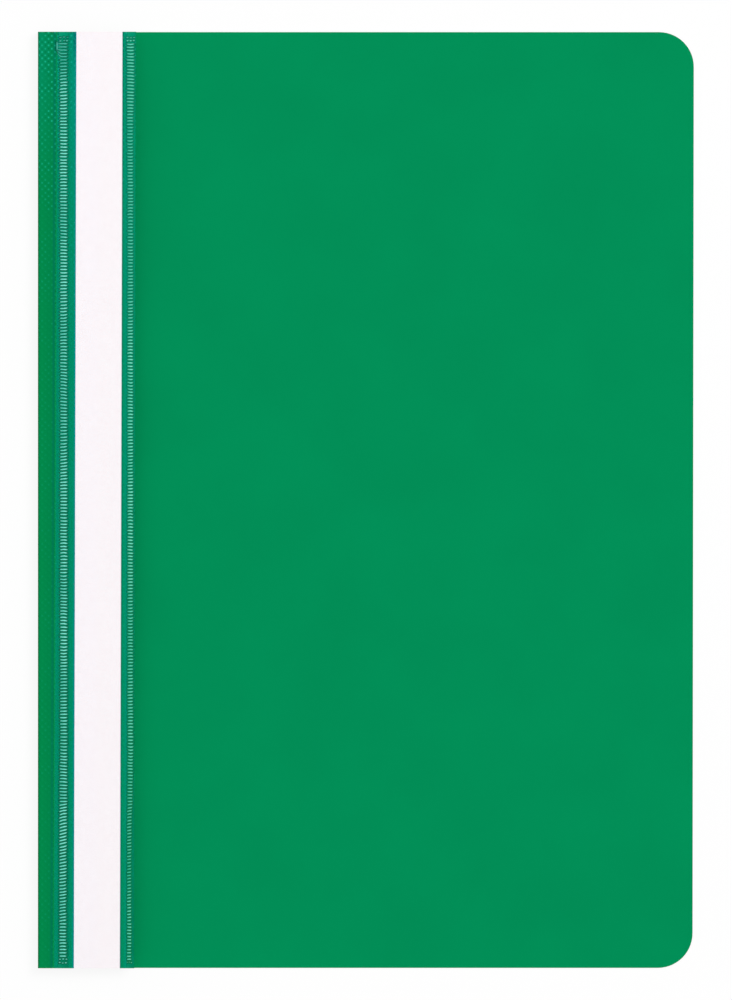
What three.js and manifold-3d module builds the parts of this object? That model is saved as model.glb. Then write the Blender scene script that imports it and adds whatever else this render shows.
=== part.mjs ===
// Fastener folder for A4 sheets, lying closed on its back.
// Millimetres. +X runs from the spine to the free edge, +Y up the page and +Z up.
// The origin is at the middle of the folder, on the surface that it lies on.
// A place across the folder is written as a distance from the spine's outer face.

import * as THREE from 'three';
import { mergeVertices } from 'three/addons/utils/BufferGeometryUtils.js';
import Module from 'manifold-3d';

const wasm = await Module();
wasm.setup();

// Covers
const FOLDER_WIDTH = 217;
const FOLDER_HEIGHT = 310;
const CORNER_RADIUS = 11.5;
const CORNER_STEPS = 10;
const SPINE_DEPTH = 5;
const SHEET = 0.3;
const FILM = 0.2;
const CREASE_GAP = 0.04;

// Flap, its two ladder welds and the label pocket between them
const FLAP_WIDTH = 32.2;
const FILM_START = 5.6;
const SPINE_WELD_START = 6.9;
const SPINE_WELD_WIDTH = 2.7;
const COVER_WELD_START = 29.5;
const COVER_WELD_WIDTH = 2.4;
const RUNG_PITCH = 1.067;
const RUNG_SHARE = 0.68;
const RUNG_TOP = 0.3;
const GROOVE_FLOOR = 0.08;
const WELD_END_MARGIN = 1.9;
const LABEL_WIDTH = 15.4;
const LABEL_INSET = 0.1;
const LABEL_THICKNESS = 0.12;
const LABEL_MIDDLE = 19.85;
const LABEL_TILT_DEGREES = -0.21;
const POCKET_PLAY = 0.08;
const WINDOW_RISE = 1.1;

// Clear front cover: it leaves the flap's edge and sinks to the back cover
const COVER_GAP = 0.2;
const DROOP_START = 1.8;
const DROOP_LENGTH = 76;
const DROOP_STEPS = 14;

// Filing fastener on the back cover, for holes 80 mm apart
const HOLE_SPACING = 80;
const HOLE_MIDDLE = 14;
const STEEL = 0.3;
const BASE_WIDTH = 8;
const PRONG_WIDTH = 5.5;
const PRONG_LENGTH = 28;
const SHOULDER_LENGTH = 4;
const STRIP_WIDTH = 14.6;
const STRIP_LENGTH = 132;
const STRIP_THICKNESS = 0.25;
const STRIP_PLAY = 0.15;
const STRIP_SLOPE = 0.5;
const SLOT_PLAY = 0.25;

// Compressor bar and its two locks
const BAR_LENGTH = 116;
const BAR_FOOT_WIDTH = 10;
const BAR_WIDTH = 12;
const BAR_FOOT = 0.45;
const BAR_PLATE = 0.8;
const BAR_RAIL = 0.7;
const BAR_RAIL_WIDTH = 1.6;
const BAR_SLOT_REACH = 5;
const BAR_SLOT_WIDTH = 6.4;
const BAR_END_RADIUS = 4;
const PRONG_LIFT = 0.1;
const GRIP_RIBS = 5;
const GRIP_RIB_WIDTH = 1.3;
const GRIP_RIB_DROP = 0.25;
const LOCK_LENGTH = 8;
const LOCK_PARK = 1;
const LOCK_WALL = 0.5;
const LOCK_PLAY = 0.05;
const LOCK_LIP = 0.9;
const LOCK_RIB = 0.3;
const LOCK_RIBS = 3;

// Heights and places that follow from the sizes above
const HALF_HEIGHT = FOLDER_HEIGHT / 2;
const FLAP_UNDERSIDE = SPINE_DEPTH - SHEET;
const WINDOW_UNDERSIDE = SPINE_DEPTH + LABEL_THICKNESS + POCKET_PLAY;
const SPINE_WELD_END = SPINE_WELD_START + SPINE_WELD_WIDTH;
const COVER_WELD_END = COVER_WELD_START + COVER_WELD_WIDTH;
const COVER_START = FLAP_WIDTH + COVER_GAP;
const PRONG_ROOT = HOLE_SPACING / 2 + STEEL;
const STRIP_UNDERSIDE = SHEET + STEEL;
const BAR_BOTTOM = STRIP_UNDERSIDE + STRIP_THICKNESS;
const BAR_TOP = BAR_BOTTOM + BAR_PLATE;
const RAIL_TOP = BAR_TOP + BAR_RAIL;
const PRONG_UNDERSIDE = BAR_TOP + PRONG_LIFT;
const PRONG_TOP = PRONG_UNDERSIDE + STEEL;

const across = (distance) => distance - FOLDER_WIDTH / 2;

// Materials
const greenSheet = () => new THREE.MeshStandardMaterial({ color: 0x008e58, roughness: 0.5 });
const clearFilm = () =>
  new THREE.MeshStandardMaterial({
    color: 0xd7efe8,
    roughness: 0.15,
    transparent: true,
    opacity: 0.3,
  });
const paper = () => new THREE.MeshStandardMaterial({ color: 0xfaf6fa, roughness: 0.9 });
const steel = () =>
  new THREE.MeshStandardMaterial({ color: 0xb9bcc0, roughness: 0.35, metalness: 1 });
const whitePlastic = () => new THREE.MeshStandardMaterial({ color: 0xeceef0, roughness: 0.3 });

// Turns a closed geometry into a solid for a join or a cut.
function toSolid(geometry) {
  const bare = geometry.index ? geometry.clone() : geometry;
  bare.deleteAttribute('normal');
  bare.deleteAttribute('uv');
  const merged = mergeVertices(bare, 1e-5);
  return new wasm.Manifold(
    new wasm.Mesh({
      numProp: 3,
      vertProperties: new Float32Array(merged.attributes.position.array),
      triVerts: new Uint32Array(merged.index.array),
    }),
  );
}

// Turns a solid back into a geometry.
function toGeometry(solid) {
  const mesh = solid.getMesh();
  const geometry = new THREE.BufferGeometry();
  geometry.setAttribute('position', new THREE.BufferAttribute(mesh.vertProperties, 3));
  geometry.setIndex(new THREE.BufferAttribute(mesh.triVerts, 1));
  return geometry;
}

const join = (geometries) => toGeometry(wasm.Manifold.union(geometries.map(toSolid)));
const cut = (geometry, tools) =>
  toGeometry(toSolid(geometry).subtract(wasm.Manifold.union(tools.map(toSolid))));

// Turns a list of points into a closed outline.
const outline = (points) => new THREE.Shape(points.map(([a, b]) => new THREE.Vector2(a, b)));

// A section drawn across the folder (distance, height), run along the page.
function runAlongPage(points, from, to) {
  const section = outline(points.map(([distance, height]) => [across(distance), height]));
  const geometry = new THREE.ExtrudeGeometry(section, { depth: to - from, bevelEnabled: false });
  return geometry.rotateX(Math.PI / 2).translate(0, to, 0);
}

// A section drawn along the page (place, height), run across the folder.
function runAcrossFolder(points, from, to) {
  const section = outline(points);
  const geometry = new THREE.ExtrudeGeometry(section, { depth: to - from, bevelEnabled: false });
  return geometry.rotateX(Math.PI / 2).rotateZ(Math.PI / 2).translate(across(from), 0, 0);
}

// An outline drawn on the page (distance, place), raised between two heights.
function raise(shape, from, to) {
  const geometry = new THREE.ExtrudeGeometry(shape, {
    depth: to - from,
    bevelEnabled: false,
    curveSegments: CORNER_STEPS,
  });
  return geometry.translate(0, 0, from);
}

// A block between two distances, two places along the page and two heights.
function block([nearX, farX], [lowY, highY], [lowZ, highZ]) {
  const geometry = new THREE.BoxGeometry(farX - nearX, highY - lowY, highZ - lowZ);
  const middle = across((nearX + farX) / 2);
  return geometry.translate(middle, (lowY + highY) / 2, (lowZ + highZ) / 2);
}

function mesh(name, geometry, material) {
  const made = new THREE.Mesh(geometry, material);
  made.name = name;
  return made;
}

// The covers' outline: square at the spine, two round corners at the free edge.
function coverOutline(from) {
  const left = across(from);
  const right = across(FOLDER_WIDTH);
  const shape = new THREE.Shape();
  shape.moveTo(left, -HALF_HEIGHT);
  shape.lineTo(right - CORNER_RADIUS, -HALF_HEIGHT);
  shape.absarc(
    right - CORNER_RADIUS, CORNER_RADIUS - HALF_HEIGHT, CORNER_RADIUS, -Math.PI / 2, 0, false,
  );
  shape.absarc(
    right - CORNER_RADIUS, HALF_HEIGHT - CORNER_RADIUS, CORNER_RADIUS, 0, Math.PI / 2, false,
  );
  shape.lineTo(left, HALF_HEIGHT);
  return shape;
}

// Coloured sheet: three panels, mitred where the sheet is creased

function backCover() {
  const panel = raise(coverOutline(0), 0, SHEET);
  const mitre = runAlongPage(
    [
      [-SHEET, -SHEET],
      [CREASE_GAP - SHEET, -SHEET],
      [CREASE_GAP + 2 * SHEET, 2 * SHEET],
      [-SHEET, 2 * SHEET],
    ],
    -HALF_HEIGHT - SHEET,
    HALF_HEIGHT + SHEET,
  );
  return mesh('back_cover', cut(panel, [mitre]), greenSheet());
}

function spinePanel() {
  const section = [
    [0, CREASE_GAP],
    [SHEET, SHEET + CREASE_GAP],
    [SHEET, SPINE_DEPTH - SHEET - CREASE_GAP],
    [0, SPINE_DEPTH - CREASE_GAP],
  ];
  return mesh('spine_panel', runAlongPage(section, -HALF_HEIGHT, HALF_HEIGHT), greenSheet());
}

function frontFlap() {
  const section = [
    [CREASE_GAP, SPINE_DEPTH],
    [SHEET + CREASE_GAP, FLAP_UNDERSIDE],
    [FLAP_WIDTH, FLAP_UNDERSIDE],
    [FLAP_WIDTH, SPINE_DEPTH],
  ];
  return mesh('front_flap', runAlongPage(section, -HALF_HEIGHT, HALF_HEIGHT), greenSheet());
}

// Clear film: pressed into a ladder of rungs where it is welded to the flap

function ladderSection() {
  const room = FOLDER_HEIGHT - 2 * WELD_END_MARGIN;
  const rungs = Math.floor(room / RUNG_PITCH);
  const start = -rungs * RUNG_PITCH / 2;
  const floor = SPINE_DEPTH + GROOVE_FLOOR;
  const top = SPINE_DEPTH + RUNG_TOP;
  const film = SPINE_DEPTH + FILM;
  const slope = (1 - RUNG_SHARE) * RUNG_PITCH / 2;
  const points = [
    [HALF_HEIGHT, film],
    [HALF_HEIGHT, SPINE_DEPTH],
    [-HALF_HEIGHT, SPINE_DEPTH],
    [-HALF_HEIGHT, film],
    [start - slope, film],
  ];
  for (let rung = 0; rung < rungs; rung += 1) {
    const low = start + rung * RUNG_PITCH;
    points.push([low, floor]);
    points.push([low + slope, top]);
    points.push([low + RUNG_PITCH - slope, top]);
  }
  points.push([-start, floor]);
  points.push([slope - start, film]);
  return points;
}

function ladderWeld(name, weld, edge) {
  const rungs = runAcrossFolder(ladderSection(), weld[0], weld[1]);
  const length = [-HALF_HEIGHT, HALF_HEIGHT];
  const root = block(
    [Math.min(weld[0], edge[0]), Math.max(weld[1], edge[1])],
    length,
    [SPINE_DEPTH, SPINE_DEPTH + GROOVE_FLOOR],
  );
  const margin = block(edge, length, [SPINE_DEPTH, SPINE_DEPTH + FILM]);
  return mesh(name, join([rungs, root, margin]), clearFilm());
}

function labelWindow() {
  const left = SPINE_WELD_END;
  const right = COVER_WELD_START;
  const section = [
    [left, SPINE_DEPTH],
    [left + WINDOW_RISE, WINDOW_UNDERSIDE],
    [right - WINDOW_RISE, WINDOW_UNDERSIDE],
    [right, SPINE_DEPTH],
    [right, SPINE_DEPTH + FILM],
    [right - WINDOW_RISE, WINDOW_UNDERSIDE + FILM],
    [left + WINDOW_RISE, WINDOW_UNDERSIDE + FILM],
    [left, SPINE_DEPTH + FILM],
  ];
  return mesh('label_window', runAlongPage(section, -HALF_HEIGHT, HALF_HEIGHT), clearFilm());
}

function labelStrip() {
  const length = FOLDER_HEIGHT - 2 * LABEL_INSET;
  const label = new THREE.BoxGeometry(LABEL_WIDTH, length, LABEL_THICKNESS);
  const made = mesh('label_strip', label, paper());
  made.position.set(across(LABEL_MIDDLE), 0, SPINE_DEPTH + LABEL_THICKNESS / 2);
  made.rotation.z = THREE.MathUtils.degToRad(LABEL_TILT_DEGREES);
  return made;
}

// Underside of the clear cover: level at the flap, an eased slope, then flat on the back.
function coverUnderside(step) {
  const share = step / DROOP_STEPS;
  const ease = (1 - Math.cos(Math.PI * share)) / 2;
  return [
    COVER_START + DROOP_START + share * DROOP_LENGTH,
    SPINE_DEPTH + (SHEET - SPINE_DEPTH) * ease,
  ];
}

function frontCover() {
  const underside = [[COVER_START, SPINE_DEPTH]];
  for (let step = 0; step <= DROOP_STEPS; step += 1) {
    underside.push(coverUnderside(step));
  }
  underside.push([FOLDER_WIDTH, SHEET]);
  const topside = underside.map(([distance, height]) => [distance, height + FILM]).reverse();
  const sheet = runAlongPage([...underside, ...topside], -HALF_HEIGHT, HALF_HEIGHT);
  const trim = raise(coverOutline(COVER_START - SHEET), -SHEET, 2 * SPINE_DEPTH);
  const trimmed = toGeometry(toSolid(sheet).intersect(toSolid(trim)));
  return mesh('front_cover', trimmed, clearFilm());
}

// Filing fastener

function filingStrip() {
  const crown = BASE_WIDTH / 2 + STRIP_PLAY;
  const edge = STRIP_WIDTH / 2;
  const inner = [
    [-edge, SHEET],
    [-crown - STRIP_SLOPE, SHEET],
    [-crown, STRIP_UNDERSIDE],
    [crown, STRIP_UNDERSIDE],
    [crown + STRIP_SLOPE, SHEET],
    [edge, SHEET],
  ];
  const outer = inner.map(([side, height]) => [side, height + STRIP_THICKNESS]).reverse();
  const section = [...inner, ...outer].map(([side, height]) => [HOLE_MIDDLE + side, height]);
  const strip = runAlongPage(section, -STRIP_LENGTH / 2, STRIP_LENGTH / 2);
  const reach = PRONG_WIDTH / 2 + SLOT_PLAY;
  const slots = [-1, 1].map((end) => {
    const near = end * (PRONG_ROOT - STEEL - SLOT_PLAY);
    const far = end * (PRONG_ROOT + SLOT_PLAY);
    return block(
      [HOLE_MIDDLE - reach, HOLE_MIDDLE + reach],
      [Math.min(near, far), Math.max(near, far)],
      [SHEET, BAR_BOTTOM + STRIP_THICKNESS],
    );
  });
  return mesh('filing_strip', cut(strip, slots), greenSheet());
}

function fastenerBase() {
  const half = BASE_WIDTH / 2;
  const neck = PRONG_WIDTH / 2;
  const shoulder = PRONG_ROOT - SHOULDER_LENGTH;
  const plan = [
    [-neck, -PRONG_ROOT],
    [neck, -PRONG_ROOT],
    [half, -shoulder],
    [half, shoulder],
    [neck, PRONG_ROOT],
    [-neck, PRONG_ROOT],
    [-half, shoulder],
    [-half, -shoulder],
  ].map(([side, place]) => [across(HOLE_MIDDLE + side), place]);
  const flat = raise(outline(plan), SHEET, SHEET + STEEL);
  const risers = [-1, 1].map((end) => {
    const outer = end * PRONG_ROOT;
    const inner = end * (PRONG_ROOT - STEEL);
    const section = [
      [outer, SHEET],
      [outer, PRONG_TOP - CREASE_GAP],
      [inner, PRONG_UNDERSIDE - CREASE_GAP],
      [inner, SHEET],
    ];
    const ordered = end > 0 ? section : section.reverse();
    return runAcrossFolder(ordered, HOLE_MIDDLE - neck, HOLE_MIDDLE + neck);
  });
  return mesh('fastener_base', join([flat, ...risers]), steel());
}

// A prong lies folded inwards over the bar, with a round tip.
function prong(name, end) {
  const neck = PRONG_WIDTH / 2;
  const root = PRONG_ROOT - CREASE_GAP;
  const tip = PRONG_ROOT - PRONG_LENGTH;
  const plan = new THREE.Shape();
  plan.moveTo(-neck, -root);
  plan.lineTo(neck, -root);
  plan.lineTo(neck, -tip - neck);
  plan.absarc(0, -tip - neck, neck, 0, Math.PI, false);
  const blade = raise(plan, PRONG_UNDERSIDE, PRONG_TOP);
  const mitre = new THREE.ExtrudeGeometry(
    outline([
      [-root - STEEL, PRONG_TOP],
      [-root, PRONG_TOP],
      [-root + 2 * STEEL, PRONG_TOP - 2 * STEEL],
      [-root - STEEL, PRONG_TOP - 2 * STEEL],
    ]),
    { depth: BASE_WIDTH, bevelEnabled: false },
  );
  mitre.rotateX(Math.PI / 2).rotateZ(Math.PI / 2).translate(-BASE_WIDTH / 2, 0, 0);
  const made = mesh(name, cut(blade, [mitre]), steel());
  made.position.x = across(HOLE_MIDDLE);
  made.rotation.z = end > 0 ? Math.PI : 0;
  return made;
}

function compressorBar() {
  const half = BAR_WIDTH / 2;
  const foot = BAR_FOOT_WIDTH / 2;
  const rail = half - BAR_RAIL_WIDTH;
  const section = [
    [-foot, BAR_BOTTOM],
    [foot, BAR_BOTTOM],
    [foot, BAR_BOTTOM + BAR_FOOT],
    [half, BAR_BOTTOM + BAR_FOOT],
    [half, RAIL_TOP],
    [rail, RAIL_TOP],
    [rail, BAR_TOP],
    [-rail, BAR_TOP],
    [-rail, RAIL_TOP],
    [-half, RAIL_TOP],
    [-half, BAR_BOTTOM + BAR_FOOT],
    [-foot, BAR_BOTTOM + BAR_FOOT],
  ].map(([side, height]) => [HOLE_MIDDLE + side, height]);
  const bar = runAlongPage(section, -BAR_LENGTH / 2, BAR_LENGTH / 2);
  const slots = [-1, 1].map((end) => {
    const near = end * (PRONG_ROOT - BAR_SLOT_REACH);
    const far = end * (PRONG_ROOT + SLOT_PLAY);
    return block(
      [HOLE_MIDDLE - BAR_SLOT_WIDTH / 2, HOLE_MIDDLE + BAR_SLOT_WIDTH / 2],
      [Math.min(near, far), Math.max(near, far)],
      [SHEET, RAIL_TOP],
    );
  });
  const plan = new THREE.Shape();
  const end = BAR_LENGTH / 2;
  plan.moveTo(BAR_END_RADIUS - half, -end);
  plan.absarc(half - BAR_END_RADIUS, BAR_END_RADIUS - end, BAR_END_RADIUS, -Math.PI / 2, 0, false);
  plan.absarc(half - BAR_END_RADIUS, end - BAR_END_RADIUS, BAR_END_RADIUS, 0, Math.PI / 2, false);
  plan.absarc(BAR_END_RADIUS - half, end - BAR_END_RADIUS, BAR_END_RADIUS, Math.PI / 2, Math.PI, false);
  plan.absarc(BAR_END_RADIUS - half, BAR_END_RADIUS - end, BAR_END_RADIUS, Math.PI, 1.5 * Math.PI, false);
  const round = raise(plan, 0, SPINE_DEPTH).translate(across(HOLE_MIDDLE), 0, 0);
  const room = BAR_LENGTH / 2 - BAR_END_RADIUS - PRONG_ROOT - SLOT_PLAY;
  const ribPitch = room / GRIP_RIBS;
  const ribs = [];
  for (const side of [-1, 1]) {
    for (let rib = 0; rib < GRIP_RIBS; rib += 1) {
      const place = side * (PRONG_ROOT + SLOT_PLAY + (rib + 1) * ribPitch);
      ribs.push(
        block(
          [HOLE_MIDDLE - rail - BAR_RAIL_WIDTH / 2, HOLE_MIDDLE + rail + BAR_RAIL_WIDTH / 2],
          [place - GRIP_RIB_WIDTH / 2, place + GRIP_RIB_WIDTH / 2],
          [BAR_BOTTOM + BAR_FOOT, RAIL_TOP - GRIP_RIB_DROP],
        ),
      );
    }
  }
  const solid = toSolid(bar)
    .intersect(toSolid(round))
    .subtract(wasm.Manifold.union(slots.map(toSolid)));
  return mesh('compressor_bar', join([toGeometry(solid), ...ribs]), whitePlastic());
}

// A lock wraps the bar and slides along it, over the prong's tip.
function lock(name, end) {
  const inside = BAR_WIDTH / 2 + LOCK_PLAY;
  const outside = inside + LOCK_WALL;
  const ceiling = RAIL_TOP + LOCK_PLAY;
  const top = ceiling + LOCK_WALL;
  const bottom = BAR_BOTTOM + LOCK_PLAY;
  const lipTop = BAR_BOTTOM + BAR_FOOT - LOCK_PLAY;
  const lip = inside - LOCK_LIP;
  const right = [
    [lip, bottom],
    [outside, bottom],
    [outside, top - LOCK_WALL / 2],
    [outside - LOCK_WALL / 2, top],
  ];
  const inner = [
    [lip, lipTop],
    [inside, lipTop],
    [inside, ceiling],
  ];
  const mirror = ([side, height]) => [-side, height];
  const section = [
    ...right,
    ...right.map(mirror).reverse(),
    ...inner.map(mirror),
    ...inner.reverse(),
  ].map(([side, height]) => [HOLE_MIDDLE + side, height]);
  const near = end > 0 ? LOCK_PARK : -LOCK_PARK - LOCK_LENGTH;
  const clip = runAlongPage(section, near, near + LOCK_LENGTH);
  const ribPitch = LOCK_LENGTH / (2 * LOCK_RIBS + 1);
  const thumb = [];
  for (let rib = 0; rib < LOCK_RIBS; rib += 1) {
    const low = near + (2 * rib + 1) * ribPitch;
    thumb.push(
      block(
        [HOLE_MIDDLE - PRONG_WIDTH / 2, HOLE_MIDDLE + PRONG_WIDTH / 2],
        [low, low + ribPitch],
        [top - LOCK_WALL / 2, top + LOCK_RIB],
      ),
    );
  }
  return mesh(name, join([clip, ...thumb]), whitePlastic());
}

const folder = new THREE.Group();
folder.add(backCover());
folder.add(spinePanel());
folder.add(frontFlap());
folder.add(
  ladderWeld('spine_side_weld', [SPINE_WELD_START, SPINE_WELD_END], [FILM_START, SPINE_WELD_START]),
);
folder.add(labelWindow());
folder.add(
  ladderWeld('cover_side_weld', [COVER_WELD_START, COVER_WELD_END], [COVER_WELD_END, FLAP_WIDTH]),
);
folder.add(labelStrip());
folder.add(frontCover());
folder.add(filingStrip());
folder.add(fastenerBase());
folder.add(prong('upper_prong', 1));
folder.add(prong('lower_prong', -1));
folder.add(compressorBar());
folder.add(lock('upper_lock', 1));
folder.add(lock('lower_lock', -1));

export default folder;
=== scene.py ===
import math
import random

import bmesh
import bpy
from mathutils import Matrix, Vector, noise


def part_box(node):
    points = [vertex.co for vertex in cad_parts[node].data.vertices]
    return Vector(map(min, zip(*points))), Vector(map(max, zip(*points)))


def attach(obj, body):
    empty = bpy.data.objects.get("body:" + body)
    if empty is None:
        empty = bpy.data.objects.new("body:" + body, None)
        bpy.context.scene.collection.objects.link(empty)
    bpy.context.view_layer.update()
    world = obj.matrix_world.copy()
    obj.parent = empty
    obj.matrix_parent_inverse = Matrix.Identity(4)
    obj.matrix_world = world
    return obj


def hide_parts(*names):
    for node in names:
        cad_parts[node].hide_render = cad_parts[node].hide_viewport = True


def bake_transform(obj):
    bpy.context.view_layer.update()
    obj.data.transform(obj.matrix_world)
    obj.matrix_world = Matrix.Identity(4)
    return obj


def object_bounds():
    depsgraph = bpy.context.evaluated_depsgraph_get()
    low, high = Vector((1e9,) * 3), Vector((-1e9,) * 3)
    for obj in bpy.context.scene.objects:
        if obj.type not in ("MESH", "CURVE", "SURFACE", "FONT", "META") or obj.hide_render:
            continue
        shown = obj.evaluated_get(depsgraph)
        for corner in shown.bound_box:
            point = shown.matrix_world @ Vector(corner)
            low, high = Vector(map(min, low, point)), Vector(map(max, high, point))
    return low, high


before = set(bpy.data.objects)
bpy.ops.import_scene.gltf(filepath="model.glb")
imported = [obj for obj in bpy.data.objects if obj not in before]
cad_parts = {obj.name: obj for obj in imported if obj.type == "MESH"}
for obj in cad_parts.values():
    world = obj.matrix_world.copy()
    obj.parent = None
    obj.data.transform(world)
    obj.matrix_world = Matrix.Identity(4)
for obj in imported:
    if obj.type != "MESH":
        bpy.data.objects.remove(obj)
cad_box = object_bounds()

# The view
# The folder lies on a pale table top, seen from straight above through a long lens, which
# keeps its outline as square as it is in the photograph. The light is broad and soft.
MM = 0.001
PHOTO_PIXELS_HIGH = 1000
FOLDER_PIXELS_HIGH = 936.6
LENS = 600
SENSOR = 36
FAR_LIMIT = 200
VIEW_MIDDLE = 0.11 * MM
LAMP_PLACE = Vector((2.25, 1.75, 3.75))
LAMP_SIZE = 2.5
LAMP_POWER = 169
SKY_LIGHT = 0.5
CARD_HEIGHT = 2.2
CARD_SIZE = 3.6
TABLE_SIZE = 80
TABLE_GAP = 0.05 * MM
TABLE_GREY = 0.9
TABLE_GLOW = 0.9

folder_low, folder_high = cad_box
folder_height = folder_high.y - folder_low.y
view_height = folder_height * PHOTO_PIXELS_HIGH / FOLDER_PIXELS_HIGH
overhead = bpy.data.cameras.new("overhead")
overhead.lens = LENS
overhead.sensor_width = SENSOR
overhead.clip_end = FAR_LIMIT
camera = bpy.data.objects.new("overhead", overhead)
camera.location = (VIEW_MIDDLE, 0, folder_high.z + view_height * LENS / SENSOR)
bpy.context.scene.collection.objects.link(camera)
bpy.context.scene.camera = camera
bpy.context.scene.view_settings.view_transform = "Standard"

softbox = bpy.data.lights.new("softbox", "AREA")
softbox.size = LAMP_SIZE
softbox.energy = LAMP_POWER
lamp = bpy.data.objects.new("softbox", softbox)
lamp.location = LAMP_PLACE
lamp.rotation_euler = LAMP_PLACE.to_track_quat("Z", "Y").to_euler()
bpy.context.scene.collection.objects.link(lamp)


class Value:
    """A number in a finish. Python's operators on it add Math nodes to its node tree."""

    def __init__(self, tree, socket=None):
        self.tree = tree
        self.socket = socket

    def node(self, kind, settings=None, inputs=None, output=0):
        """A node with its settings made first, then its values and links."""
        made = self.tree.nodes.new(kind)
        for name, value in (settings or {}).items():
            setattr(made, name, value)
        for name, value in (inputs or {}).items():
            if isinstance(value, Value):
                self.tree.links.new(value.socket, made.inputs[name])
            else:
                made.inputs[name].default_value = value
        return Value(self.tree, made.outputs[output]) if made.outputs else None

    def math(self, operation, first, second=0.0):
        inputs = {0: first, 1: second}
        return self.node("ShaderNodeMath", {"operation": operation}, inputs)

    def __add__(self, other):
        return self.math("ADD", self, other)

    __radd__ = __add__

    def __sub__(self, other):
        return self.math("SUBTRACT", self, other)

    def __rsub__(self, other):
        return self.math("SUBTRACT", other, self)

    def __mul__(self, other):
        return self.math("MULTIPLY", self, other)

    __rmul__ = __mul__

    def __truediv__(self, other):
        return self.math("DIVIDE", self, other)

    def __pow__(self, other):
        return self.math("POWER", self, other)

    def __abs__(self):
        return self.math("ABSOLUTE", self)

    def cosine(self):
        return self.math("COSINE", self)

    def most(self, other):
        return self.math("MAXIMUM", self, other)

    def between(self, start, end):
        """0 before start, 1 after end, eased between them."""
        settings = {"interpolation_type": "SMOOTHSTEP"}
        inputs = {"Value": self, "From Min": start, "From Max": end}
        return self.node("ShaderNodeMapRange", settings, inputs)

    def colour(self, none, full):
        """The first colour at 0 and the second at 1. 6 and 7 are the node's colour sockets."""
        inputs = {0: self, 6: none, 7: full}
        return self.node("ShaderNodeMix", {"data_type": "RGBA"}, inputs, output=2)


def light_paths(tree):
    """1 for rays that show a background: the camera's, reflections and what passes through."""
    start = Value(tree)
    seen = start.node("ShaderNodeLightPath", output="Is Camera Ray")
    mirrored = start.node("ShaderNodeLightPath", output="Is Glossy Ray")
    through = start.node("ShaderNodeLightPath", output="Is Transmission Ray")
    return seen.most(mirrored).most(through)


sky = bpy.data.worlds.new("studio")
sky.use_nodes = True
sky.node_tree.nodes.clear()
bpy.context.scene.world = sky
start = Value(sky.node_tree)
white = (1, 1, 1, 1)
lit = start.node("ShaderNodeBackground", None, {"Color": white, "Strength": SKY_LIGHT})
shown = start.node("ShaderNodeBackground", None, {"Color": white, "Strength": 1.0})
share = light_paths(start.tree)
mixed = start.node("ShaderNodeMixShader", None, {0: share, 1: lit, 2: shown})
start.node("ShaderNodeOutputWorld", None, {"Surface": mixed})


def flat_stage(name, size, height, turn=Matrix.Identity(4)):
    """A level square of the studio, which isn't part of the folder."""
    mesh = bmesh.new()
    bmesh.ops.create_grid(mesh, x_segments=1, y_segments=1, size=size / 2, matrix=turn)
    data = bpy.data.meshes.new(name)
    mesh.to_mesh(data)
    mesh.free()
    made = bpy.data.objects.new(name, data)
    made.location.z = height
    bpy.context.scene.collection.objects.link(made)
    material = bpy.data.materials.new(name)
    material.use_nodes = True
    material.node_tree.nodes.clear()
    data.materials.append(material)
    return made, Value(material.node_tree)


_, start = flat_stage("table", TABLE_SIZE, folder_low.z - TABLE_GAP)
grey = (TABLE_GREY, TABLE_GREY, TABLE_GREY, 1)
matt = start.node("ShaderNodeBsdfDiffuse", None, {"Color": grey})
glow = start.node("ShaderNodeEmission", None, {"Strength": 1.0})
share = light_paths(start.tree) * TABLE_GLOW
mixed = start.node("ShaderNodeMixShader", None, {0: share, 1: matt, 2: glow})
start.node("ShaderNodeOutputMaterial", None, {"Surface": mixed})

# A black card above the folder keeps the sky's reflection off the film, as a studio does.
face_down = Matrix.Rotation(math.pi, 4, "X")
card, start = flat_stage("black_card", CARD_SIZE, CARD_HEIGHT, face_down)
black = start.node("ShaderNodeBsdfDiffuse", None, {"Color": (0, 0, 0, 1)})
start.node("ShaderNodeOutputMaterial", None, {"Surface": black})
card.visible_camera = False
card.visible_diffuse = False
card.visible_shadow = False

# The coloured sheet
# One sheet of green polypropylene, embossed on its outer side with a fine diamond grain.
# It is creased twice, round the spine, into the back cover, the spine and the front flap.
SHEET = 0.3 * MM
CREASE_RADIUS = 0.9 * MM
CREASE_STEPS = 8
CORNER_RADIUS = 11.5 * MM
CORNER_STEPS = 14
GRAIN_ACROSS = 2.15 * MM
GRAIN_UP = 2.17 * MM
GRAIN_DEPTH = 0.04 * MM
GRAIN_DRIFT = 2.2
SHEET_GLOSS = 0.012
OUTER_TILT = 0.2
SAME_PLACE = 0.01 * MM
SHARP_ANGLE = math.radians(35)
# Where the outer side's green, its painted shade and its painted highlights change: stretches
# from the spine, and heights on the page.
LEFT_AIR = (9.9 * MM, 11.6 * MM)
RIGHT_AIR = (28.0 * MM, 29.4 * MM)
RIGHT_AIR_END = (31.0 * MM, 32.0 * MM)
LEFT_AIR_TOP = (0.08, 0.14)
BLUER_FROM = 0.09
LIT_FROM = 0.02
SHADE_REACH = 5.0 * MM
FILM_SHADE = 0.9 * MM
PRESS_OFFSET = 0.6 * MM
PRESS_REACH = 0.7 * MM
LABEL_SHIFT = 0.11 * MM
LABEL_GAP = 7.81 * MM
LABEL_SHADE = 0.42 * MM
BULGE_OFFSET = 8.2 * MM
BULGE_REACH = 0.8 * MM
BULGE_TOP = (0.143, 0.152)
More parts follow.
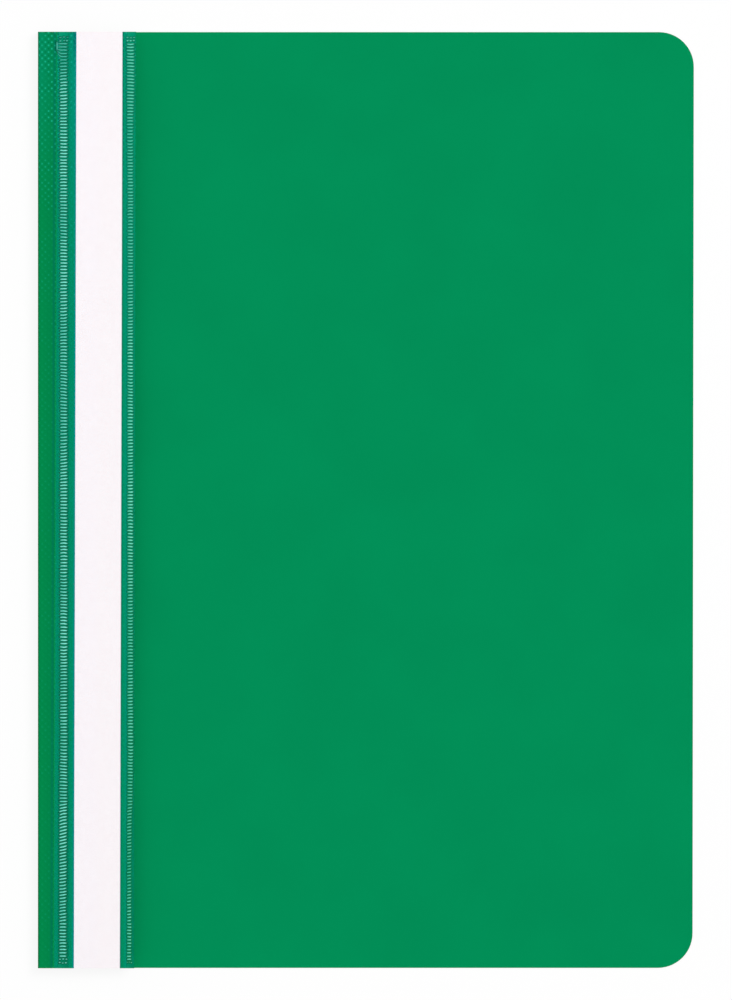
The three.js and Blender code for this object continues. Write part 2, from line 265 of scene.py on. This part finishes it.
# How far each edge moves to the right for each metre that it rises up the page.
FILM_EDGE_LEAN = 0.0036
LABEL_LEAN = 0.0028
FLAP_LEAN = 0.0021
FREE_EDGE_LEAN = 0.0014
spine_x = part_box("spine_panel")[0].x
free_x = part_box("back_cover")[1].x
page_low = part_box("back_cover")[0].y
page_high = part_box("back_cover")[1].y
spine_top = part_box("front_flap")[1].z
flap_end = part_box("front_flap")[1].x
film_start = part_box("spine_side_weld")[0].x
label_low, label_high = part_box("label_strip")
label_middle = (label_low.x + label_high.x) / 2 + LABEL_SHIFT


def paint(red, green, blue):
    """A colour as it is read off a picture, made linear for a shader."""
    levels = [level / 255 for level in (red, green, blue)]
    linear = [(v / 12.92 if v < 0.04045 else ((v + 0.055) / 1.055) ** 2.4) for v in levels]
    return (*linear, 1)


def finish_of(name, base, roughness, height, depth, **sockets):
    """A material: a shader with its base colour, its roughness and a bump of some depth."""
    material = bpy.data.materials.new(name)
    material.use_nodes = True
    tree = material.node_tree
    tree.nodes.clear()
    start = Value(tree)
    bump = start.node("ShaderNodeBump", None, {"Height": height(start), "Distance": depth})
    inputs = {"Base Color": base(start), "Roughness": roughness(start), "Normal": bump}
    for socket, value in sockets.items():
        inputs[socket.replace("_", " ")] = value(start) if callable(value) else value
    shader = start.node("ShaderNodeBsdfPrincipled", None, inputs)
    start.node("ShaderNodeOutputMaterial", None, {"Surface": shader})
    return material


def place(start, axis):
    """How far a point is along X, Y or Z."""
    at = start.node("ShaderNodeTexCoord", output="Object")
    return start.node("ShaderNodeSeparateXYZ", None, {"Vector": at}, output=axis)


def up_page(start, low_y, high_y):
    """0 below one height on the page and 1 above another, eased between them."""
    return place(start, "Y").between(low_y, high_y)


def cloud(start, scale, detail=2.0):
    """Soft noise about 0.5, with lumps 1 / scale metres across."""
    at = start.node("ShaderNodeTexCoord", output="Object")
    inputs = {"Vector": at, "Scale": scale, "Detail": detail}
    return start.node("ShaderNodeTexNoise", None, inputs)


def grain_wave(start):
    """1 in the middle of each diamond of the grain and -1 between them, staggered row by row."""
    across = (place(start, "X") + place(start, "Z")) * (2 * math.pi / GRAIN_ACROSS)
    up = place(start, "Y") * (2 * math.pi / GRAIN_UP) + cloud(start, 170) * GRAIN_DRIFT
    return across.cosine() * up.cosine()


def diamond_grain(start):
    return grain_wave(start).most(0.0)


def right_of(start, line_x, line_lean):
    """How far a point lies to the right of a line that leans a little across the page."""
    return place(start, "X") - place(start, "Y") * line_lean - line_x


def near(distance, reach):
    """1 on a line, eased to 0 at its reach on both sides."""
    return 1 - abs(distance).between(0, reach)


def from_spine(start, low, high):
    """0 nearer the spine than one distance, and 1 farther from it than another."""
    return place(start, "X").between(spine_x + low, spine_x + high)


def air_under_film(start):
    """Where air lies behind the film: right of the label, and left of it near the page's top."""
    left = from_spine(start, *LEFT_AIR)
    left = left - place(start, "X").between(label_middle - MM, label_middle)
    right = from_spine(start, *RIGHT_AIR) - from_spine(start, *RIGHT_AIR_END)
    return left * up_page(start, *LEFT_AIR_TOP) * 0.5 + right * 0.7


def grained(start, ground):
    """The ground with a painted highlight on each diamond of the grain and painted shade in the
    hollows between them, both stronger up the page.
    """
    shine = up_page(start, LIT_FROM, page_high) * 0.22 + 0.12
    shine = shine + up_page(start, BLUER_FROM, page_high) * 0.45
    shine = shine * (0.25 + 1.5 * cloud(start, 260).between(0.38, 0.62))
    glint = grain_wave(start).between(0.4, 0.95) * shine
    hollow = (0 - grain_wave(start)).between(0.4, 0.95) * shine
    glinted = glint.colour(ground, paint(22, 170, 132))
    return (hollow * 0.5).colour(glinted, paint(0, 108, 66))


def outside_green(start):
    """The sheet's outer side, with painted shade toward the film, on a pressed line beside its
    edge, along the label's edges and beside a bulge near the page's top.
    """
    bluer = up_page(start, BLUER_FROM, page_high)
    plain = bluer.colour(paint(1, 136, 74), paint(2, 141, 95))
    # Painted shade: the green darkens toward the film.
    toward_film = from_spine(start, 0, SHADE_REACH) * 0.6
    shaded = toward_film.colour(plain, paint(0, 125, 70))
    under_film = right_of(start, film_start, FILM_EDGE_LEAN).between(0, FILM_SHADE)
    covered = under_film.colour(shaded, paint(0, 140, 78))
    ground = air_under_film(start).colour(covered, paint(0, 150, 116))
    lit_grain = grained(start, ground)
    beside_label = right_of(start, label_middle, LABEL_LEAN)
    label_shade = near(abs(beside_label) - LABEL_GAP, LABEL_SHADE) * 0.75
    right_side = beside_label.between(-MM, MM)
    shade_tint = right_side.colour(paint(0, 136, 146), paint(0, 86, 68))
    edged = label_shade.colour(lit_grain, shade_tint)
    # Painted shade on a pressed line just left of the film's edge.
    press_line = right_of(start, film_start - PRESS_OFFSET, FILM_EDGE_LEAN)
    pressed = near(press_line, PRESS_REACH) * 0.4
    press_shaded = pressed.colour(edged, paint(0, 98, 94))
    # Painted shade beside a bulge of the film, near the page's top.
    bulge_shade = near(0 - beside_label - BULGE_OFFSET, BULGE_REACH) * up_page(start, *BULGE_TOP)
    return (bulge_shade * 0.7).colour(press_shaded, paint(0, 86, 68))


def inside_green(start):
    cloudy = cloud(start, 35).between(0.25, 0.75)
    return cloudy.colour(paint(0, 139, 84), paint(0, 142, 86))


grained_green = finish_of(
    "grained_green",
    outside_green,
    lambda start: 0.3 + 0.12 * cloud(start, 900),
    diamond_grain,
    GRAIN_DEPTH,
    Specular_IOR_Level=SHEET_GLOSS,
)
smooth_green = finish_of(
    "smooth_green",
    inside_green,
    lambda start: 0.3 + 0.12 * cloud(start, 500),
    lambda start: cloud(start, 1500),
    0.01 * MM,
    Specular_IOR_Level=SHEET_GLOSS,
)


def finished(name, mesh, *materials):
    """Turns a bmesh into an object at the origin, with smooth faces and its materials."""
    data = bpy.data.meshes.new(name)
    mesh.to_mesh(data)
    mesh.free()
    data.shade_smooth()
    data.set_sharp_from_angle(angle=SHARP_ANGLE)
    for material in materials:
        data.materials.append(material)
    made = bpy.data.objects.new(name, data)
    bpy.context.scene.collection.objects.link(made)
    return made


def run_up_page(section, low_y, high_y):
    """A sheet of no thickness: a chain of (x, z) points, run up the page."""
    mesh = bmesh.new()
    rail = [mesh.verts.new((x, low_y, z)) for x, z in section]
    chain = [mesh.edges.new(pair) for pair in zip(rail, rail[1:])]
    swept = bmesh.ops.extrude_edge_only(mesh, edges=chain)["geom"]
    moved = [part for part in swept if isinstance(part, bmesh.types.BMVert)]
    bmesh.ops.translate(mesh, verts=moved, vec=(0, high_y - low_y, 0))
    return mesh


def thicken(mesh, outward, thickness):
    """Gives a sheet its thickness, behind the side that looks outward."""
    bmesh.ops.recalc_face_normals(mesh, faces=mesh.faces)
    if mesh.faces[:][0].normal.dot(Vector(outward)) < 0:
        bmesh.ops.reverse_faces(mesh, faces=mesh.faces)
    mesh.normal_update()
    bmesh.ops.solidify(mesh, geom=mesh.faces[:], thickness=thickness)
    mesh.normal_update()


def quarter_turn(centre_x, centre_z, radius, start_angle):
    """Points on a quarter of a circle that starts at an angle and turns clockwise."""
    turn = []
    for step in range(CREASE_STEPS + 1):
        angle = math.radians(start_angle - 90 * step / CREASE_STEPS)
        turn.append((centre_x + radius * math.cos(angle), centre_z + radius * math.sin(angle)))
    return turn


def round_corners(mesh, at_x, radius):
    """Rounds the two corners of a sheet that lie at one x."""
    corners = [vert for vert in mesh.verts if abs(vert.co.x - at_x) < SAME_PLACE]
    bmesh.ops.bevel(
        mesh, geom=corners, offset=radius, segments=CORNER_STEPS, profile=0.5,
        affect="VERTICES", material=-1,
    )


def lean(mesh, start_x, start_slope, end_x, end_slope):
    """Leans a sheet to the right up the page, by a slope that changes across the page."""
    for vert in mesh.verts:
        share = min(max((vert.co.x - start_x) / (end_x - start_x), 0), 1)
        vert.co.x += (start_slope + share * (end_slope - start_slope)) * vert.co.y


def mark_inside(mesh, upward):
    """The sheet's outer side, which looks left and up (1) or down (-1), is the first finish."""
    for face in mesh.faces:
        outside = face.normal.z * upward > OUTER_TILT or face.normal.x < -OUTER_TILT
        face.material_index = 0 if outside else 1


lower_path = [(free_x, 0.0)]
lower_path += quarter_turn(spine_x + CREASE_RADIUS, CREASE_RADIUS, CREASE_RADIUS, 270)
lower_path.append((spine_x, spine_top / 2))
lower_mesh = run_up_page(lower_path, page_low, page_high)
round_corners(lower_mesh, free_x, CORNER_RADIUS)
lean(lower_mesh, spine_x + CREASE_RADIUS, 0.0, free_x, FREE_EDGE_LEAN)
thicken(lower_mesh, (0, 0, -1), SHEET)
mark_inside(lower_mesh, -1)
lower_sheet = finished("lower_sheet", lower_mesh, grained_green, smooth_green)
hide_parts("back_cover")
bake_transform(lower_sheet)

upper_path = [(spine_x, spine_top / 2)]
upper_path += quarter_turn(spine_x + CREASE_RADIUS, spine_top - CREASE_RADIUS, CREASE_RADIUS, 180)
upper_path.append((flap_end, spine_top))
upper_mesh = run_up_page(upper_path, page_low, page_high)
thicken(upper_mesh, (-1, 0, 0), SHEET)
lean(upper_mesh, spine_x + CREASE_RADIUS, 0.0, flap_end, FLAP_LEAN)
mark_inside(upper_mesh, 1)
upper_sheet = finished("upper_sheet", upper_mesh, grained_green, smooth_green)
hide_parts("spine_panel", "front_flap")
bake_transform(upper_sheet)

# The label strip
# A strip of plain white paper, cut to the folder's height and slid into the pocket. It lies
# a little askew, along the film's edges.
PAPER = 0.1 * MM
PAPER_GLOSS = 0.1
LABEL_HALF = 7.63 * MM


def paper_white(start):
    fibres = cloud(start, 700, 6.0).between(0.2, 0.8)
    return fibres.colour(paint(252, 243, 246), paint(255, 247, 250))


label_paper = finish_of(
    "label_paper",
    paper_white,
    lambda start: 0.85 + 0.1 * cloud(start, 400),
    lambda start: cloud(start, 3000, 4.0),
    0.02 * MM,
    Specular_IOR_Level=PAPER_GLOSS,
)
paper_left = label_middle - LABEL_HALF
paper_right = label_middle + LABEL_HALF
paper_sides = [(paper_left, label_high.z), (paper_right, label_high.z)]
label_mesh = run_up_page(paper_sides, page_low, page_high)
thicken(label_mesh, (0, 0, 1), PAPER)
lean(label_mesh, paper_left, LABEL_LEAN, paper_right, LABEL_LEAN)
label = finished("paper_label", label_mesh, label_paper)
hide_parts("label_strip")
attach(label, "label")

# The clear film over the label
# Clear film closes the pocket: a narrow edge beside the spine, and a window that stands
# just clear of the label between the two welds. It turns the green under it a little bluer.
FILM = 0.15 * MM
FILM_LIFT = 0.02 * MM
FILM_MIRROR = 0.3
FILM_SHEEN = 0.01
FILM_EDGE = 0.7 * MM
WINDOW_RISE = 1.1 * MM
SEAM_INSET = 0.52 * MM
LEFT_SEAM_LEAN = 0.0005
RIGHT_SEAM_LEAN = 0.0006
window_low, window_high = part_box("label_window")
seam_side = window_low.x + SEAM_INSET


def clear_film(name, tint, haze, roughness, height, depth):
    """Film that mirrors a little, shows a little haze and lets the rest through."""

    def gloss(start):
        facing = start.node("ShaderNodeLayerWeight", None, {"Blend": 0.5}, output="Facing")
        return facing ** 5.0 * FILM_MIRROR + FILM_SHEEN

    return finish_of(
        name,
        tint,
        roughness,
        height,
        depth,
        Metallic=lambda start: gloss(start) / (gloss(start) + haze(start)),
        Alpha=lambda start: gloss(start) + haze(start),
        Specular_IOR_Level=0.0,
    )


def film_tint(start):
    """Bluer beside the label, where the film lies over the flap with air behind it, and lighter
    along its own edge, where a highlight is painted.
    """
    aside = right_of(start, label_middle, LABEL_LEAN)
    right_side = aside.between(-MM, MM)
    off_label = abs(aside).between(LABEL_HALF, LABEL_HALF + 1.2 * MM)
    off_tint = right_side.colour(paint(0, 184, 206), paint(0, 182, 176))
    beside = right_side.colour(paint(20, 196, 226), paint(10, 190, 190))
    plain = off_label.colour(beside, off_tint)
    # A painted highlight along the film's cut edge.
    edge = near(right_of(start, film_start, FILM_EDGE_LEAN), FILM_EDGE)
    return edge.colour(plain, paint(20, 206, 108))


def film_haze(start):
    """How much of the film shows: hardly any over the label, and more at its own edge, where it
    carries a painted highlight.
    """
    aside = right_of(start, label_middle, LABEL_LEAN)
    off_label = abs(aside).between(LABEL_HALF - 0.2 * MM, LABEL_HALF)
    # More haze along the film's edge, which shows its painted highlight.
    edge = near(right_of(start, film_start, FILM_EDGE_LEAN), FILM_EDGE)
    return off_label * 0.06 + edge * 0.05 + 0.004


pocket_film = clear_film(
    "pocket_film",
    film_tint,
    film_haze,
    lambda start: 0.08 + 0.1 * cloud(start, 300),
    lambda start: cloud(start, 60, 1.0),
    0.06 * MM,
)


def film_strip(rails, thickness):
    """A strip of film along rails, each an x, a z and the slope at which it leans."""
    mesh = run_up_page([(x, z) for x, z, slope in rails], page_low, page_high)
    thicken(mesh, (0, 0, 1), thickness)
    for vert in mesh.verts:
        nearest = min(rails, key=lambda rail: abs(rail[0] - vert.co.x))
        vert.co.x += nearest[2] * vert.co.y
    return mesh


flat_film = spine_top + FILM_LIFT + FILM
window_mesh = film_strip([
    (seam_side, flat_film, LEFT_SEAM_LEAN),
    (seam_side + WINDOW_RISE, window_high.z, LABEL_LEAN),
    (window_high.x - WINDOW_RISE, window_high.z, LABEL_LEAN),
    (window_high.x, flat_film, RIGHT_SEAM_LEAN),
], FILM)
window = finished("pocket_window", window_mesh, pocket_film)
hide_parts("label_window")
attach(window, "flap")

# The ladder welds
# Two seams pressed by a toothed tool weld the film to the flap. Each is a ladder of raised rungs,
# whitened and with a painted highlight on their crests, about a millimetre apart on a dark bed,
# ragged where the tool starts and ends.
RUNG_PITCH = 1.067 * MM
RUNG_HALF_HEIGHT = 0.5 * MM
RUNG_END_MARGIN = 2.1 * MM
RUNG_STEPS = 8
RUNG_STEPS_ACROSS = 4
RUNG_RISE = 0.16 * MM
BED_TOP = 0.1 * MM
BED_THICKNESS = 0.07 * MM
WOBBLE = 0.17 * MM
TAIL_REACH = 0.7 * MM
TAIL_CLIMBS = (0, 0, 0.5 * MM, 1.0 * MM, 1.5 * MM)
TAIL_BAR = 1.8 * MM
TAIL_BAR_HALF_WIDTH = 0.48 * MM
TAIL_BAR_PLACE = 6.36 * MM
BED_SLOPE = 0.1 * MM
LEFT_BED_START = 6.8 * MM
RIGHT_BED_END = 32.0 * MM
RIGHT_BED_LEAN = 0.0018
LANE_LEAN = 0.001
PAGE_FADE = 0.12
FOOT_TILT = 0.16
FOOT_TILT_LOW = -0.14
FOOT_TILT_HIGH = -0.1
BED_GLOSS = 0.02
RUNG_GLOSS = 0.03
weld_bed_z = spine_top + BED_TOP


def bed_green(start):
    brightness = up_page(start, -PAGE_FADE, PAGE_FADE) * 0.7
    brightness = brightness + cloud(start, 400).between(0.3, 0.7) * 0.3
    return brightness.colour(paint(0, 128, 92), paint(0, 150, 112))


weld_bed = finish_of(
    "weld_bed",
    bed_green,
    lambda start: 0.3 + 0.2 * cloud(start, 800),
    lambda start: cloud(start, 1200),
    0.03 * MM,
    Specular_IOR_Level=BED_GLOSS,
)


def rung_finish(name, dull, bright, flank, lane_x, lane_width, strength, changes):
    """
    Film whitening along each rung's crest, partly real and partly a painted highlight, brightest
    at its ends and duller in stretches.
    The flank's colours are the bed's at the page's foot and at its top. The whitening has
    a strength at the foot, and each change gives two heights and what it adds between them.
    """

    def whitening_and_highlight(start):
        level = strength
        for low_y, high_y, change in changes:
            level = level + up_page(start, low_y, high_y) * change
        off_middle = abs(right_of(start, lane_x, LANE_LEAN)).between(0, lane_width * 0.3)
        patchy = cloud(start, 60).between(0.35, 0.65)
        whiteness_and_shine = (off_middle * 0.25 + patchy * 0.35 + 0.3) * level
        crest = whiteness_and_shine.colour(dull, bright)
        bed = up_page(start, -PAGE_FADE, PAGE_FADE).colour(*flank)
        foot_z = weld_bed_z + RUNG_RISE * 0.3
        crest_z = weld_bed_z + RUNG_RISE * 0.95
        height = place(start, "Z").between(foot_z, crest_z)
        # Lighter toward the crest: the film's whitening together with a painted highlight.
        return (height * (0.6 + 0.4 * level)).colour(bed, crest)

    return finish_of(
        name,
        whitening_and_highlight,
        lambda start: 0.3 + 0.15 * cloud(start, 900),
        lambda start: cloud(start, 2500),
        0.02 * MM,
        Specular_IOR_Level=RUNG_GLOSS,
    )


def hump(mesh, spot, rise, start_fade=1.0):
    """A soft hump on the bed. Its spot gives x and y from -1 to 1 along and across it."""
    patch = bmesh.ops.create_grid(
        mesh, x_segments=RUNG_STEPS, y_segments=RUNG_STEPS_ACROSS, size=1,
    )
    for vert in patch["verts"]:
        along, across = vert.co.x, vert.co.y
        fade = along ** 4 * (start_fade if along < 0 else 1)
        height = math.cos(across * math.pi / 2) ** 2 * (1 - fade)
        vert.co = (*spot(along, across), weld_bed_z + height * rise)


def one_rung(
    mesh, low_x, high_x, middle_y, bow=0.0, tilt=0.0, reach=0.0, climb=0.0, rise=RUNG_RISE,
):
    """One rung: it bows and tilts, and its left end may be drawn out and up into a tail."""
    half_x = (high_x - low_x) / 2

    def spot(along, across):
        drawn = max(-0.4 - along, 0) / 0.6
        thinned = (1 - 0.4 * drawn * bool(reach)) * (1 - 0.35 * abs(along) ** 3)
        x = low_x + half_x * (1 + along) - drawn * reach
        y = middle_y + across * RUNG_HALF_HEIGHT * thinned + drawn * drawn * climb
        return x, y + bow * (1 - abs(along)) + tilt * along * half_x

    hump(mesh, spot, rise, 0.3 if reach else 1.0)


def broken_rung(mesh, low_x, high_x, middle_y, draw, rise):
    """Where the tool starts or ends, a rung is no more than three specks."""
    size = high_x - low_x
    for share in (0.0, 0.34, 0.68):
        start_x = low_x + size * (share + draw.uniform(0, 0.06))
        speck_y = middle_y + draw.uniform(-0.15, 0.15) * MM
        one_rung(mesh, start_x, start_x + size * 0.3, speck_y, rise=rise * draw.uniform(0.75, 1))


def weld_strip(node, low_x, high_x, low_slope, high_slope, margin_x, margin_slope):
    """The film at a weld: the pressed bed, and the flat film between it and the margin."""
    rails = [(low_x, flat_film, low_slope), (low_x + BED_SLOPE, weld_bed_z, low_slope)]
    rails += [(high_x - BED_SLOPE, weld_bed_z, high_slope), (high_x, flat_film, high_slope)]
    rails += [(margin_x, flat_film, margin_slope)]
    strip = film_strip(sorted(rails), BED_THICKNESS)
    for face in strip.faces:
        face.material_index = 1 if low_x < face.calc_center_median().x < high_x else 0
    piece = finished(node + "_film", strip, pocket_film, weld_bed)
    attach(piece, "flap")


def eased(value, start, end):
    """0 before start, 1 after end, eased between them, for plain numbers."""
    share = min(max((value - start) / (end - start), 0), 1)
    return share * share * (3 - 2 * share)


def side_line(from_spine_mm, drifts, wander=0.0):
    """
    One side of a ladder: x for each y up the page. A drift is 1 toward the page's top or -1
    toward its foot, two distances from the middle and the millimetres added between them.
    """

    def line(y):
        drift = sum(size * eased(way * y, start, end) for way, start, end, size in drifts)
        wave = wander * noise.noise(Vector((y * 14, 8, 9)))
        return spine_x + (from_spine_mm + drift + wave) * MM

    return line


def ladder(name, node, low_at, high_at, finish, seed, broken, tails=()):
    """The rungs of a weld, between two lines, with some broken at its foot and at its top."""
    draw = random.Random(seed)
    rungs = bmesh.new()
    count = int((page_high - page_low - 2 * RUNG_END_MARGIN) / RUNG_PITCH)
    for index in range(-1, count + 1):
        middle_y = (index - (count - 1) / 2) * RUNG_PITCH
        low = low_at(middle_y) + 0.1 * MM * draw.uniform(-1, 1)
        high = high_at(middle_y) + 0.1 * MM * draw.uniform(-1, 1)
        row = count - 1 - index
        if index + 1 < broken[0] or row + 1 < broken[1]:
            last = index < 0 or row < 0
            broken_rung(rungs, low, high, middle_y, draw, RUNG_RISE * (0.85 if last else 1.0))
            continue
        wave = noise.noise(Vector((middle_y * 90, seed, 0)))
        bow = WOBBLE * (1.9 * wave + 0.4 * draw.uniform(-1, 1))
        tilt = 0.2 * noise.noise(Vector((middle_y * 40, seed, 5)))
        tilt += FOOT_TILT * (FOOT_TILT_LOW < middle_y < FOOT_TILT_HIGH)
        if 1 <= row <= len(tails):
            one_rung(rungs, low, high, middle_y, bow, tilt, TAIL_REACH, tails[row - 1])
        else:
            one_rung(rungs, low, high, middle_y, bow, tilt)
    if tails:
        bar_x = spine_x + TAIL_BAR_PLACE
        bar_y = (count - 1) / 2 * RUNG_PITCH - TAIL_BAR

        def bar_spot(along, across):
            return bar_x - across * TAIL_BAR_HALF_WIDTH, bar_y + along * TAIL_BAR

        hump(rungs, bar_spot, RUNG_RISE * 0.9)
    bmesh.ops.recalc_face_normals(rungs, faces=rungs.faces)
    rung_piece = finished(name, rungs, finish)
    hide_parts(node)
    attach(rung_piece, "flap")


weld_strip(
    "spine_side_weld", spine_x + LEFT_BED_START, seam_side, LEFT_SEAM_LEAN, LEFT_SEAM_LEAN,
    film_start, FILM_EDGE_LEAN,
)
weld_strip(
    "cover_side_weld", window_high.x, spine_x + RIGHT_BED_END, RIGHT_SEAM_LEAN, RIGHT_BED_LEAN,
    flap_end, FLAP_LEAN,
)
spine_side_white = rung_finish(
    "spine_side_rung",
    dull=paint(34, 188, 162),
    bright=paint(148, 255, 236),
    flank=(paint(0, 98, 68), paint(0, 103, 77)),
    lane_x=spine_x + 8.2 * MM,
    lane_width=2.5 * MM,
    strength=0.97,
    changes=[(0.132, 0.15, -0.58)],
)
ladder(
    "spine_side_rungs",
    "spine_side_weld",
    side_line(7.03, [(1, 0.08, 0.11, -0.1), (-1, 0.075, 0.1, -0.26)]),
    side_line(10.07, [(-1, 0.09, 0.14, -0.36)]),
    spine_side_white,
    seed=3,
    broken=(2, 2),
    tails=TAIL_CLIMBS,
)
cover_side_white = rung_finish(
    "cover_side_rung",
    dull=paint(10, 188, 155),
    bright=paint(135, 248, 219),
    flank=(paint(0, 111, 62), paint(0, 117, 84)),
    lane_x=spine_x + 30.1 * MM,
    lane_width=2.4 * MM,
    strength=0.78,
    changes=[
        (-0.135, -0.122, -0.25),
        (-0.104, -0.085, 0.3),
        (-0.02, 0.0, 0.15),
        (0.045, 0.062, -0.36),
        (0.138, 0.148, 0.12),
    ],
)
ladder(
    "cover_side_rungs",
    "cover_side_weld",
    side_line(29.42, [(1, 0.1, 0.14, -0.3), (-1, 0.08, 0.11, -0.1)]),
    side_line(31.76, [(1, 0.12, 0.14, 0.5), (-1, 0.08, 0.12, -0.68)], wander=0.3),
    cover_side_white,
    seed=8,
    broken=(1, 2),
)

# The clear front cover
# The same clear film runs on past the second weld as the front cover. It leaves the flap
# level, sinks to the back cover in one soft curve and lies flat on it to the free edge.
COVER_OVERLAP = 0.1 * MM
COVER_CLEARANCE = 0.04 * MM
DROOP_START = 2.0 * MM
DROOP_LENGTH = 76 * MM
DROOP_STEPS = 44


def cover_tint(start):
    cloudy = cloud(start, 25).between(0.3, 0.7)
    return cloudy.colour(paint(0, 190, 130), paint(0, 200, 140))


cover_film = clear_film(
    "cover_film",
    cover_tint,
    lambda start: 0.008 + 0.01 * cloud(start, 60),
    lambda start: 0.06 + 0.06 * cloud(start, 200),
    lambda start: cloud(start, 18, 1.0),
    0.25 * MM,
)
cover_path = [(flap_end - COVER_OVERLAP, flat_film)]
cover_rest = SHEET + COVER_CLEARANCE + FILM
for step in range(DROOP_STEPS + 1):
    share = step / DROOP_STEPS
    ease = (1 - math.cos(math.pi * share)) / 2
    height = flat_film + (cover_rest - flat_film) * ease
    cover_path.append((flap_end + DROOP_START + share * DROOP_LENGTH, height))
cover_path.append((free_x, cover_rest))
cover_mesh = run_up_page(cover_path, page_low, page_high)
round_corners(cover_mesh, free_x, CORNER_RADIUS)
thicken(cover_mesh, (0, 0, 1), FILM)
lean(cover_mesh, flap_end, FLAP_LEAN, free_x, FREE_EDGE_LEAN)
clear_cover = finished("clear_cover", cover_mesh, cover_film)
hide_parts("front_cover")
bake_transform(clear_cover)

# The filing strip
# A tape of the folder's own plastic, welded down along both edges on the inside of the back
# cover. The steel fastener lies under its raised middle and comes up through two slots.
TAPE_SOFTNESS = 0.05 * MM
STEEL_SOFTNESS = 0.08 * MM
SOFT_STEPS = 2
SAME_POINT = 0.0005 * MM
FLAT_ANGLE = math.radians(1)
SOFT_ANGLE = math.radians(30)


def softened(name, node, body, material, width):
    """A copy of a solid with its doubled points merged and its edges gently rounded."""
    mesh = bmesh.new()
    mesh.from_mesh(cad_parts[node].data)
    bmesh.ops.remove_doubles(mesh, verts=mesh.verts, dist=SAME_POINT)
    bmesh.ops.dissolve_limit(
        mesh, angle_limit=FLAT_ANGLE, verts=mesh.verts, edges=mesh.edges, delimit=set(),
    )
    piece = finished(name, mesh, material)
    bevel = piece.modifiers.new("soft edges", "BEVEL")
    bevel.width = width
    bevel.segments = SOFT_STEPS
    bevel.limit_method = "ANGLE"
    bevel.angle_limit = SOFT_ANGLE
    bevel.harden_normals = True
    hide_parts(node)
    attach(piece, body)


softened("filing_tape", "filing_strip", "back", smooth_green, TAPE_SOFTNESS)

# The steel fastener
# One strip of bright plated steel under the tape, bent up at both ends. Its two prongs fold
# down over the bar, or stand up to take the punched sheets.
STREAKS = (9000, 250, 9000)


def plated_steel(start):
    at = start.node("ShaderNodeTexCoord", output="Object")
    stretch = start.node("ShaderNodeMapping", None, {"Vector": at, "Scale": STREAKS})
    streak = start.node("ShaderNodeTexNoise", None, {"Vector": stretch, "Scale": 1.0})
    return streak.between(0.3, 0.7).colour(paint(168, 172, 176), paint(200, 203, 207))


bright_steel = finish_of(
    "bright_steel",
    plated_steel,
    lambda start: 0.24 + 0.16 * cloud(start, 1800),
    lambda start: cloud(start, 4000),
    0.01 * MM,
    Metallic=1.0,
)
for name, node, body in [
    ("fastener_strip", "fastener_base", "back"),
    ("top_prong_blade", "upper_prong", "top_prong"),
    ("bottom_prong_blade", "lower_prong", "bottom_prong"),
]:
    softened(name, node, body, bright_steel, STEEL_SOFTNESS)

# The compressor bar and its locks
# A moulded white bar drops over the prongs and presses on the sheets. Two clips wrap it and
# slide out over the prong tips to lock them.
BAR_SOFTNESS = 0.12 * MM
CLIP_SOFTNESS = 0.08 * MM
PLASTIC_GLOSS = 0.4


def moulded_white(start):
    cloudy = cloud(start, 120).between(0.3, 0.7)
    return cloudy.colour(paint(232, 235, 237), paint(242, 244, 245))


white_plastic = finish_of(
    "white_plastic",
    moulded_white,
    lambda start: 0.26 + 0.12 * cloud(start, 600),
    lambda start: cloud(start, 2500),
    0.01 * MM,
    Specular_IOR_Level=PLASTIC_GLOSS,
)
for name, node, body, width in [
    ("press_bar", "compressor_bar", "bar", BAR_SOFTNESS),
    ("top_clip", "upper_lock", "top_lock", CLIP_SOFTNESS),
    ("bottom_clip", "lower_lock", "bottom_lock", CLIP_SOFTNESS),
]:
    softened(name, node, body, white_plastic, width)
